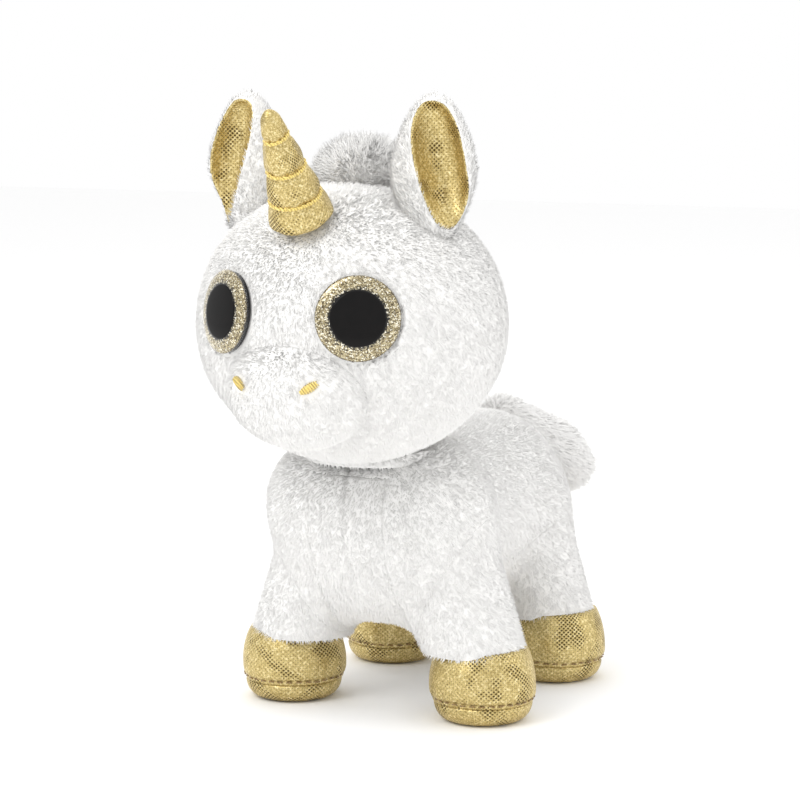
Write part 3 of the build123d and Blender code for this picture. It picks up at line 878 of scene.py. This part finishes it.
neck = {"radius": 18.6, "height": 3.6, "middle": 64.2, "thick": 1.0}
angle = np.arange(20) * 2 * math.pi / 20
section = np.stack([neck["radius"] + neck["thick"] / 2 * np.cos(angle), neck["height"] / 2 * np.sin(angle)], 1)
ring, faces = hooped(section, np.array([0, neckPivot[1], neck["middle"]]), upwards, 96)
band = makePiece("neck_band_plush", ring, faces, whitePlush, "neck")
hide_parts("neck_seam_band")
ringCentre = np.array([0, neckPivot[1], neck["middle"]])
spoke = unit((ring - ringCentre) * [1, 1, 0])
ringNormals = unit((ring - ringCentre - spoke * neck["radius"]) * [1, 1, 0.3])
halves = np.concatenate([faces[0][:, [0, 1, 2]], faces[0][:, [0, 2, 3]]])
growPile("neck_band_pile", ring, halves, ringNormals, whitePlush, "neck",
         {**plush["pile"], "length": 1.2}, 29)


hoof = {
    "seam": 4.6, "flat": 8.2, "seamRadius": 12.45, "bulge": 12.9, "bulgeHeight": 9.0, "topRadius": 10.6,
    "stitch": 1.5, "gap": 0.8, "stitchHeight": 5.6, "thread": 0.21,
}


def hoofRadius(height):
    # an egg-like outline from the seam to the top
    reach = np.where(height > hoof["bulgeHeight"], hoofTop + 8.5 - hoof["bulgeHeight"], 14.0)
    share = (height - hoof["bulgeHeight"]) / reach
    return hoof["bulge"] * np.sqrt(np.maximum(1 - share ** 2, 0.0))


def makeHoof(end, side, seed):
    joint, thigh, centre, turn = legLine(end, side)
    body = f"{end}_{side}_leg"
    random = np.random.default_rng(seed)
    phases = random.uniform(0, 6.28, 3)

    def swell(angle, height):
        # soft dents where the cloth is eased in at the seam
        near = np.exp(-((height - hoof["stitchHeight"] - 1.4) / 1.6) ** 2)
        pucker = 0.10 * np.sin(26 * angle + phases[0]) * near
        dent = pucker + 0.16 * np.sin(3 * angle + phases[1])
        return dent + 0.10 * np.sin(5 * angle + phases[2] + height * 0.3)

    heights = np.linspace(hoof["seam"], hoofTop + 1.8, 36)
    radii = hoofRadius(heights)
    radii = radii - 0.42 * np.exp(-((heights - hoof["stitchHeight"]) / 0.45) ** 2)
    radii = radii - 0.5 * np.exp(-((heights - hoof["seam"]) / 0.35) ** 2)
    profile = [(0, hoof["seam"] + 0.5), (radii[0] - 1.5, hoof["seam"] + 0.3), *zip(radii, heights),
               (8.0, hoofTop + 2.6), (0, hoofTop + 2.8)]
    points, faces, places = turned(profile, centre, upwards, 120, swell)
    upper = makePiece(f"{body}_hoof_foil", points, faces, goldFoil, body, places)
    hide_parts(f"{body.replace('_leg', '')}_hoof_upper")

    heights = np.linspace(0.0, 1.0, 14)[1:]
    edge = hoofRadius(np.array(hoof["seam"])) - 0.25
    curve = [(hoof["flat"] + (edge - hoof["flat"]) * math.sin(share * math.pi / 2),
              hoof["seam"] * (1 - math.cos(share * math.pi / 2))) for share in heights]
    curve[-1] = (edge - 0.35, hoof["seam"] + 0.1)
    profile = [(0, 0.12), (5.0, 0.06), (hoof["flat"], 0.0), *curve,
               (edge - 2.0, hoof["seam"] + 0.4), (0, hoof["seam"] + 0.4)]
    points, faces, places = turned(profile, centre, upwards, 96)
    sole = makePiece(f"{body}_sole_foil", points, faces, goldFoil, body, places)
    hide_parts(f"{body.replace('_leg', '')}_hoof_sole")

    ring = hoofRadius(np.array(hoof["stitchHeight"])) - 0.12
    count = int(2 * math.pi * ring / (hoof["stitch"] + hoof["gap"]))
    shapes = []
    for number in range(count):
        middleAngle = 2 * math.pi * number / count + random.normal(0, 0.006)
        half = hoof["stitch"] / ring / 2
        sway = random.normal(0, 0.10, 2)
        ends = [centre + np.array([ring * math.cos(a), ring * math.sin(a), hoof["stitchHeight"] + lift])
                for a, lift in zip((middleAngle - half, middleAngle + half), sway)]
        shapes.append(capsule(ends[0], ends[1], hoof["thread"]))
    points, faces = gathered(shapes)
    stitches = makePiece(f"{body}_hoof_stitches", points, faces, brownThread, body)
    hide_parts(f"{body.replace('_leg', '')}_hoof_stitching")


for number, (end, side) in enumerate(legNames):
    makeHoof(end, side, 41 + number)
print("hooves made")


hornPivot = jointPlace("horn_tilt")
hornAxis = unit([0, -0.527, 0.850])
horn = {"length": 30.0, "base": 7.6, "tip": 2.0, "start": 0.4,
        "rings": (7.0, 14.8, 22.8), "pinch": 0.45, "puff": 0.30, "thread": 0.42}


def hornRadius(height):
    height = np.asarray(height, float)
    radius = horn["base"] + (horn["tip"] - horn["base"]) * np.clip(height, 0, None) / (horn["length"] - 2.0)
    for ring in horn["rings"]:
        radius = radius - horn["pinch"] * np.exp(-((height - ring) / 1.0) ** 2)
    bounds = (horn["start"], *horn["rings"], horn["length"])
    for low, high in zip(bounds, bounds[1:]):
        share = np.clip((height - low) / (high - low), 0, 1)
        radius = radius + horn["puff"] * np.sin(math.pi * share)
    radius = radius - 2.4 * np.clip((horn["start"] + 1.4 - height) / 1.8, 0, 1) ** 2
    tipShare = np.clip((height - (horn["length"] - 2.6)) / 2.6, 0, 1)
    return radius * np.sqrt(1 - tipShare ** 2 * 0.999)


def hornSwell(angle, height):
    seam = -0.35 * np.exp(-((angle - 4.7) / 0.12) ** 2)
    uneven = seam + 0.10 * np.sin(7 * angle + height * 0.5) + 0.08 * np.sin(4 * angle - height * 0.9)
    return uneven * np.clip((horn["length"] - height) / 6, 0, 1)


heights = np.linspace(horn["start"], horn["length"] - 0.02, 90)
profile = [(0, horn["start"] - 0.1), *zip(hornRadius(heights), heights), (0, horn["length"])]
points, faces, places = turned(profile, hornPivot, hornAxis, 96, hornSwell)
hornCloth = makePiece("horn_foil", points, faces, goldFoil, None, places)
tuple((hornPivot + hornAxis * 6.0) * mm)
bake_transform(hornCloth)
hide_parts("horn_cover", "horn_stuffing")

side = unit(np.cross(hornAxis, [0, 1, 0.2]))
other = np.cross(hornAxis, side)
shapes = []
for height in horn["rings"]:
    count = max(12, int(2 * math.pi * hornRadius(height) / 1.25))
    for strand in (0, 1):
        angle = np.linspace(0, 2 * math.pi, 240, endpoint=False)
        sway = angle * count / 2 + strand * math.pi
        radius = hornRadius(height) + 0.18 + 0.20 * np.cos(2 * sway)
        rise = height + 0.22 * np.sin(sway) + 0.35 * np.sin(angle + height)
        around = np.cos(angle)[:, None] * side + np.sin(angle)[:, None] * other
        path = hornPivot + radius[:, None] * around + rise[:, None] * hornAxis
        shapes.append(tube(path, horn["thread"] * 0.75, 6, closed=True))
points, faces = gathered(shapes)
rings = makePiece("horn_thread", points, faces, goldThread, "horn")
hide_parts("horn_thread_rings")
print("horn made")


ear = {
    "centre": (24.4, -49.8, 132.6), "radii": (10.4, 6.0, 17.8),
    "slot": (27.4, -55.6, 138.6), "slotRadii": (5.6, 7.4, 12.5),
    "slotTail": 26.0, "slotTop": 148.6, "slotLean": 14.0,
}


def leanTo(points, centre, degrees, side):
    # turns points about the front-to-back line through centre
    angle = math.radians(degrees) * side
    away = points - centre
    leant = away.copy()
    leant[:, 0] = away[:, 0] * math.cos(angle) - away[:, 2] * math.sin(angle)
    leant[:, 2] = away[:, 0] * math.sin(angle) + away[:, 2] * math.cos(angle)
    return leant + centre


def makeEar(side, name, seed):
    turn = np.array([side, 1, 1])
    centre, slotCentre = np.array(ear["centre"]) * turn, np.array(ear["slot"]) * turn

    def slotField(points):
        leaning = leanTo(points, slotCentre, ear["slotLean"], -side)
        radii = np.tile(ear["slotRadii"], (len(points), 1))
        radii[leaning[:, 2] < slotCentre[2], 2] = ear["slotTail"]
        return -blendIn(-eggField(leaning, slotCentre, radii), ear["slotTop"] - points[:, 2], 2.0)

    def leafField(points):
        leaf = eggField(leanTo(points, centre, 3.0, side), centre, np.array(ear["radii"]))
        narrow = np.abs(points[:, 0] - centre[0]) * 0.75 + np.abs(points[:, 2] - centre[2]) * 0.42 - 10.6
        leaf = -blendIn(-leaf, -narrow, 4.0)
        return carveOut(leaf, slotField(points), 0.8)

    reach = np.array(ear["radii"]) + 4
    points, triangles = skinOf(leafField, centre - reach, centre + reach, 0.6)
    points, triangles = splitAt(points, triangles, slotField(points) - 0.35, 0.06)
    middle = points[triangles].mean(1)
    lined = slotField(middle) < 0.35
    used, part = takePart(triangles, ~lined)
    back = points[used]
    normals = unit(slopeOf(leafField, back))
    panel, faces = clothPanel(back, part, normals, 0.7)
    cloth = makePiece(f"ear_{name}_plush", panel, faces, whitePlush, None)
    pile = growPile(f"ear_{name}_pile", back, part, normals, whitePlush, None,
                    {**plush["pile"], "comb": (0, 0.3, 0.6), "length": 1.5, "perSquare": 6.0}, seed)
    for piece in (cloth, pile):
        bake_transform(piece)
    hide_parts(f"ear_back_{name}")
    used, part = takePart(triangles, lined)
    lining = points[used]
    normals = unit(slopeOf(leafField, lining))
    panel, faces = clothPanel(lining + normals * 0.05, part, normals, 0.5)
    angle = np.arctan2(panel[:, 0] - slotCentre[0], -(panel[:, 1] - slotCentre[1]))
    flat = np.stack([6.6 * angle, panel[:, 2]], 1)
    places = np.concatenate([flat[group.ravel()] for group in faces])
    foil = makePiece(f"ear_{name}_foil", panel, faces, goldFoil, None, places)
    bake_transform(foil)
    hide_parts(f"ear_lining_{name}")


makeEar(1, "left", 51)
makeEar(-1, "right", 52)
print("ears made")


eye = {"radius": 10.0, "dome": 2.0, "iris": 9.7, "pupil": 6.4}


def domeHeight(radius):
    # how far the lens stands forward at a radius
    return eye["dome"] * np.sqrt(np.maximum(1 - (np.asarray(radius, float) / eye["radius"]) ** 2.2, 0))


def makeEye(side, name):
    turn = np.array([side, 1, 1])
    centre, forward = eyeCentre * turn, eyeForward * turn
    # the print follows the inside of the lens, so ring and pupil are domed and shine through its clear coat
    rim = np.linspace(eye["radius"], eye["iris"], 5)
    section = [*zip(rim, domeHeight(rim)), (eye["iris"], 0.05), (eye["radius"], 0.05)]
    points, faces = hooped(section, centre, forward, 96)
    lens = makePiece(f"eye_{name}_lens", points, faces, clearLens, "head")
    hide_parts(f"eye_lens_{name}")
    ring = np.linspace(eye["iris"], eye["pupil"] - 0.6, 12)
    section = [*zip(ring, domeHeight(ring) - 0.08), (eye["pupil"] - 0.6, 0.7), (eye["iris"] - 0.2, 0.05)]
    points, faces = hooped(section, centre, forward, 96)
    ringPlace = centre + forward * domeHeight(eye["pupil"] + 1.5)
    paint = glitterPaint(f"glitter {name}", ringPlace, eye["pupil"], eye["iris"] + 0.3)
    disc = makePiece(f"eye_{name}_iris", points, faces, paint, "head")
    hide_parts(f"eye_iris_{name}")
    cap = np.linspace(eye["pupil"], 0, 16)[:-1]
    profile = [(0, 0.6), (eye["pupil"] - 1.0, 0.6), *zip(cap, domeHeight(cap) - 0.03),
               (0, eye["dome"] - 0.03)]
    points, faces, places = turned(profile, centre, forward, 96)
    pupil = makePiece(f"eye_{name}_pupil", points, faces, pupilBlack.material, "head")
    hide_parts(f"eye_pupil_{name}")
    for node, paint in ((f"eye_shank_{name}", blackPlastic), (f"eye_washer_{name}", washerPlastic)):
        mesh = frame["nodes"][node].data
        mesh.materials.clear()
        mesh.materials.append(paint)


makeEye(1, "left")
makeEye(-1, "right")
print("eyes made")


def surfaceIn(field, start, direction, reach=30.0):
    # the first place where a line meets the form
    steps = np.linspace(0, reach, 1200)
    values = field(start + steps[:, None] * direction)
    return start + steps[np.argmax(values < 0)] * direction


def makeNostril(side, name):
    middle = np.array([nostril["place"][0] * side, muzzleLow[1] - 3, nostril["place"][1]])
    slant = math.radians(nostril["slant"])
    longWay = np.array([math.cos(slant) * side, 0, math.sin(slant)])
    wideWay = np.array([-math.sin(slant) * side, 0, math.cos(slant)])
    shapes = []
    for number in range(nostril["threads"]):
        share = (number + 0.5) / nostril["threads"] * 2 - 1
        half = nostril["wide"] / 2 * math.sqrt(1 - share * share * 0.9)
        line = middle + longWay * share * nostril["long"] / 2
        ends = [surfaceIn(headField, line + wideWay * half * end, np.array([0.0, 1.0, 0.0]))
                for end in (-1, -0.4, 0.4, 1)]
        out = np.array([0, -1.0, 0])
        path = [ends[0] + out * 0.3, ends[1] + out * 1.2, ends[2] + out * 1.2, ends[3] + out * 0.3]
        shapes.append(tube(path, nostril["thread"] * np.array([0.6, 1.0, 1.0, 0.6]), 7))
    points, faces = gathered(shapes)
    piece = makePiece(f"nostril_{name}_stitches", points, faces, goldThread, "head")
    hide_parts(f"nostril_{name}")


makeNostril(1, "left")
makeNostril(-1, "right")


mane = {"centre": (0, -38.2, 130.2), "radii": (11.0, 9.6, 8.6), "strands": 9000,
        "strand": {"comb": (0, 0.4, 0.4), "lean": 0.2, "perLock": 60,
                   "lockScatter": 0.14, "scatter": 0.16, "droop": 0.10,
                   "weight": 0.08, "gather": 0.08, "length": 3.0, "width": 0.12}}


def spread(points, triangles, count, seed):
    random = np.random.default_rng(seed)
    corner = points[triangles]
    area = np.linalg.norm(np.cross(corner[:, 1] - corner[:, 0], corner[:, 2] - corner[:, 0]), axis=1)
    chosen = random.choice(len(triangles), count, p=area / area.sum())
    first, second = random.random((2, count))
    over = first + second > 1
    first[over], second[over] = 1 - first[over], 1 - second[over]
    place = corner[chosen, 0] * (1 - first - second)[:, None] + corner[chosen, 1] * first[:, None]
    return place + corner[chosen, 2] * second[:, None]


def longPile(name, field, low, high, body, node, count, hair, seed, keep=None, blend=None):
    points, triangles = skinOf(field, low, high, 1.2)
    cloth = makePiece(name + "_cloth", points, [triangles], longPlush, None)
    roots = spread(points, triangles, int(count * (1)), seed)
    if keep is not None:
        roots = roots[keep(roots)]
    strands = growStrands(name + "_strands", roots, unit(slopeOf(field, roots)), longPlush, None,
                          hair, seed + 1)
    for piece in (cloth, strands):
        if blend:
            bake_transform(piece)
        else:
            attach(piece, body)
    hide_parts(*node)


def tuftField(points):
    return eggField(points, np.array(mane["centre"]), np.array(mane["radii"]))


centre, radii = np.array(mane["centre"]), np.array(mane["radii"])
longPile("mane_tuft", tuftField, centre - radii - 2, centre + radii + 2, "head", ("mane_crown_tuft",),
         mane["strands"], mane["strand"], 61,
         keep=lambda roots: headField(roots) > -0.5)

stripLow, stripHigh = nodeBox("mane_neck_strip")


def stripField(points):
    ridge = eggField(points, headCentre, headRadii + [2.0, 2.0, 2.0])
    inner = -eggField(points, headCentre, headRadii - [2.5, 2.5, 2.5])
    width = np.abs(points[:, 0]) - 6.0
    reach = np.maximum(headCentre[1] + 12.0 - points[:, 1], stripLow[2] + 2.0 - points[:, 2])
    return -blendIn(-np.maximum(np.maximum(ridge, inner), reach), -width, 2.5)


longPile("mane_strip", stripField, stripLow - 3, stripHigh + 3, "head", ("mane_neck_strip",), 5200,
         {**mane["strand"], "comb": (0, 0.2, -0.9), "lean": 0.7, "length": 4.2}, 63,
         keep=lambda roots: headField(roots) > 0.3)
print("mane made")


tailPivot = jointPlace("tail_lift")
tail = {"turn": 8.0, "droop": 26.0, "middle": 23.0, "half": 19.5, "radius": 8.0, "neck": 5.8,
        "strand": {"comb": (0.1, 0.9, -0.3), "lean": 1.2, "perLock": 40,
                   "lockScatter": 0.10, "scatter": 0.12, "droop": 0.15,
                   "weight": 0.10, "gather": 0.1, "length": 2.8, "width": 0.13}}
turn, droop = math.radians(tail["turn"]), math.radians(tail["droop"])
tailAxis = np.array([math.sin(turn) * math.cos(droop), math.cos(turn) * math.cos(droop), -math.sin(droop)])


def tailField(points):
    centre = tailPivot + tailAxis * tail["middle"]
    away = points - centre
    along = away @ tailAxis
    across = np.sqrt(np.maximum((away * away).sum(1) - along * along, 0))
    first = np.hypot(along / tail["half"], across / tail["radius"])
    second = np.hypot(along / tail["half"] ** 2, across / tail["radius"] ** 2)
    body = first * (first - 1) / np.maximum(second, 1e-6)
    root = limbField(points, tailPivot - tailAxis * 3, centre, tail["neck"], tail["radius"] - 0.6)
    return blendIn(body, root, 2.0)


tip = tailPivot + tailAxis * (tail["middle"] + tail["half"])
longPile("tail", tailField, np.minimum(tailPivot, tip) - 11, np.maximum(tailPivot, tip) + 11, "tail",
         ("tail_cover", "tail_stuffing"), 9000, tail["strand"], 71, keep=lambda roots: torsoField(roots) > -0.4,
         blend=("torso", tuple((tailPivot - tailAxis * 3) * mm), tuple((tailPivot + tailAxis * 6) * mm)))
print("tail made")


labelLow, labelHigh = nodeBox("care_label")
label = {"open": 0.55, "thick": 0.16, "columns": 30, "rows": 16}
columns, rows = label["columns"], label["rows"]
along = np.linspace(0, 1, columns)
out = np.sin(along * math.pi) ** 0.45 * (labelHigh[1] - labelLow[1])
across = (labelLow[0] + labelHigh[0]) / 2 + label["open"] / 2 * np.cos(along * math.pi)
across = across + 0.25 * np.sin(out * 0.5)
heights = np.linspace(labelLow[2], labelHigh[2], rows)
points = np.stack([np.repeat(across, rows), np.repeat(labelLow[1] + out, rows), np.tile(heights, columns)], 1)
here = (np.arange(columns - 1)[:, None] * rows + np.arange(rows - 1)).ravel()
triangles = np.concatenate([np.stack([here, here + 1, here + rows + 1], 1),
                            np.stack([here, here + rows + 1, here + rows], 1)])
total = rows * columns
normals = np.stack([np.cos(np.repeat(along, rows) * math.pi), np.full(total, 1e-3), np.zeros(total)], 1)
panel, faces = clothPanel(points, triangles[:, ::-1], unit(normals), label["thick"])
ribbon = makePiece("care_label_ribbon", panel, faces, satinRibbon, "torso")
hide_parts("care_label")
print("label made")


studio = {"azimuth": 27.5, "elevation": 7.5, "distance": 650.0, "lampDistance": 900.0,
          "lens": 119.3, "sensor": 36.0,
          "sky": 1.0, "key": 2.6, "side": 1.0, "back": 1.6, "top": 1.3}
scene = bpy.context.scene
target = np.array([0, (cadBounds[0][1] + cadBounds[1][1]) / 2 / mm - 19.44, 75.0])


def outward(azimuth, elevation):
    azimuth, elevation = math.radians(azimuth), math.radians(elevation)
    level = math.cos(elevation)
    return np.array([math.sin(azimuth) * level, -math.cos(azimuth) * level, math.sin(elevation)])


def aim(item, azimuth, elevation, distance):
    # puts a lamp or camera at a distance from the target and points it there
    direction = outward(azimuth, elevation)
    item.location = Vector((target + direction * distance) * mm)
    item.rotation_euler = Vector(direction).to_track_quat("Z", "Y").to_euler()


cameraData = bpy.data.cameras.new("view")
cameraData.lens, cameraData.sensor_width = studio["lens"], studio["sensor"]
camera = bpy.data.objects.new("view", cameraData)
scene.collection.objects.link(camera)
aim(camera, studio["azimuth"], studio["elevation"], studio["distance"])
scene.camera = camera

for name, azimuth, elevation, size in (("key", -15, 42, 0.4), ("side", 100, 28, 0.8),
                                       ("back", 215, 35, 1.0), ("top", 10, 88, 1.0)):
    lampData = bpy.data.lights.new(name, "AREA")
    lampData.energy, lampData.size = studio[name], size
    lamp = bpy.data.objects.new(name, lampData)
    scene.collection.objects.link(lamp)
    aim(lamp, azimuth, elevation, studio["lampDistance"])

bpy.ops.mesh.primitive_plane_add(size=4.0, location=(0, 0, -0.0002))
floor = bpy.context.object
floor.name = "floor"
floorPaint = Paint("floor white", Roughness=0.9, Specular_IOR_Level=0.1)
floor.data.materials.append(floorPaint.finish(Base_Color=colour(0.97, 0.97, 0.97)))
scene.world = bpy.data.worlds.new("studio")
scene.world.use_nodes = True
scene.world.node_tree.nodes["Background"].inputs["Color"].default_value = colour(1, 1, 1)
scene.world.node_tree.nodes["Background"].inputs["Strength"].default_value = studio["sky"]
scene.view_settings.view_transform = "Standard"
print("stage made")
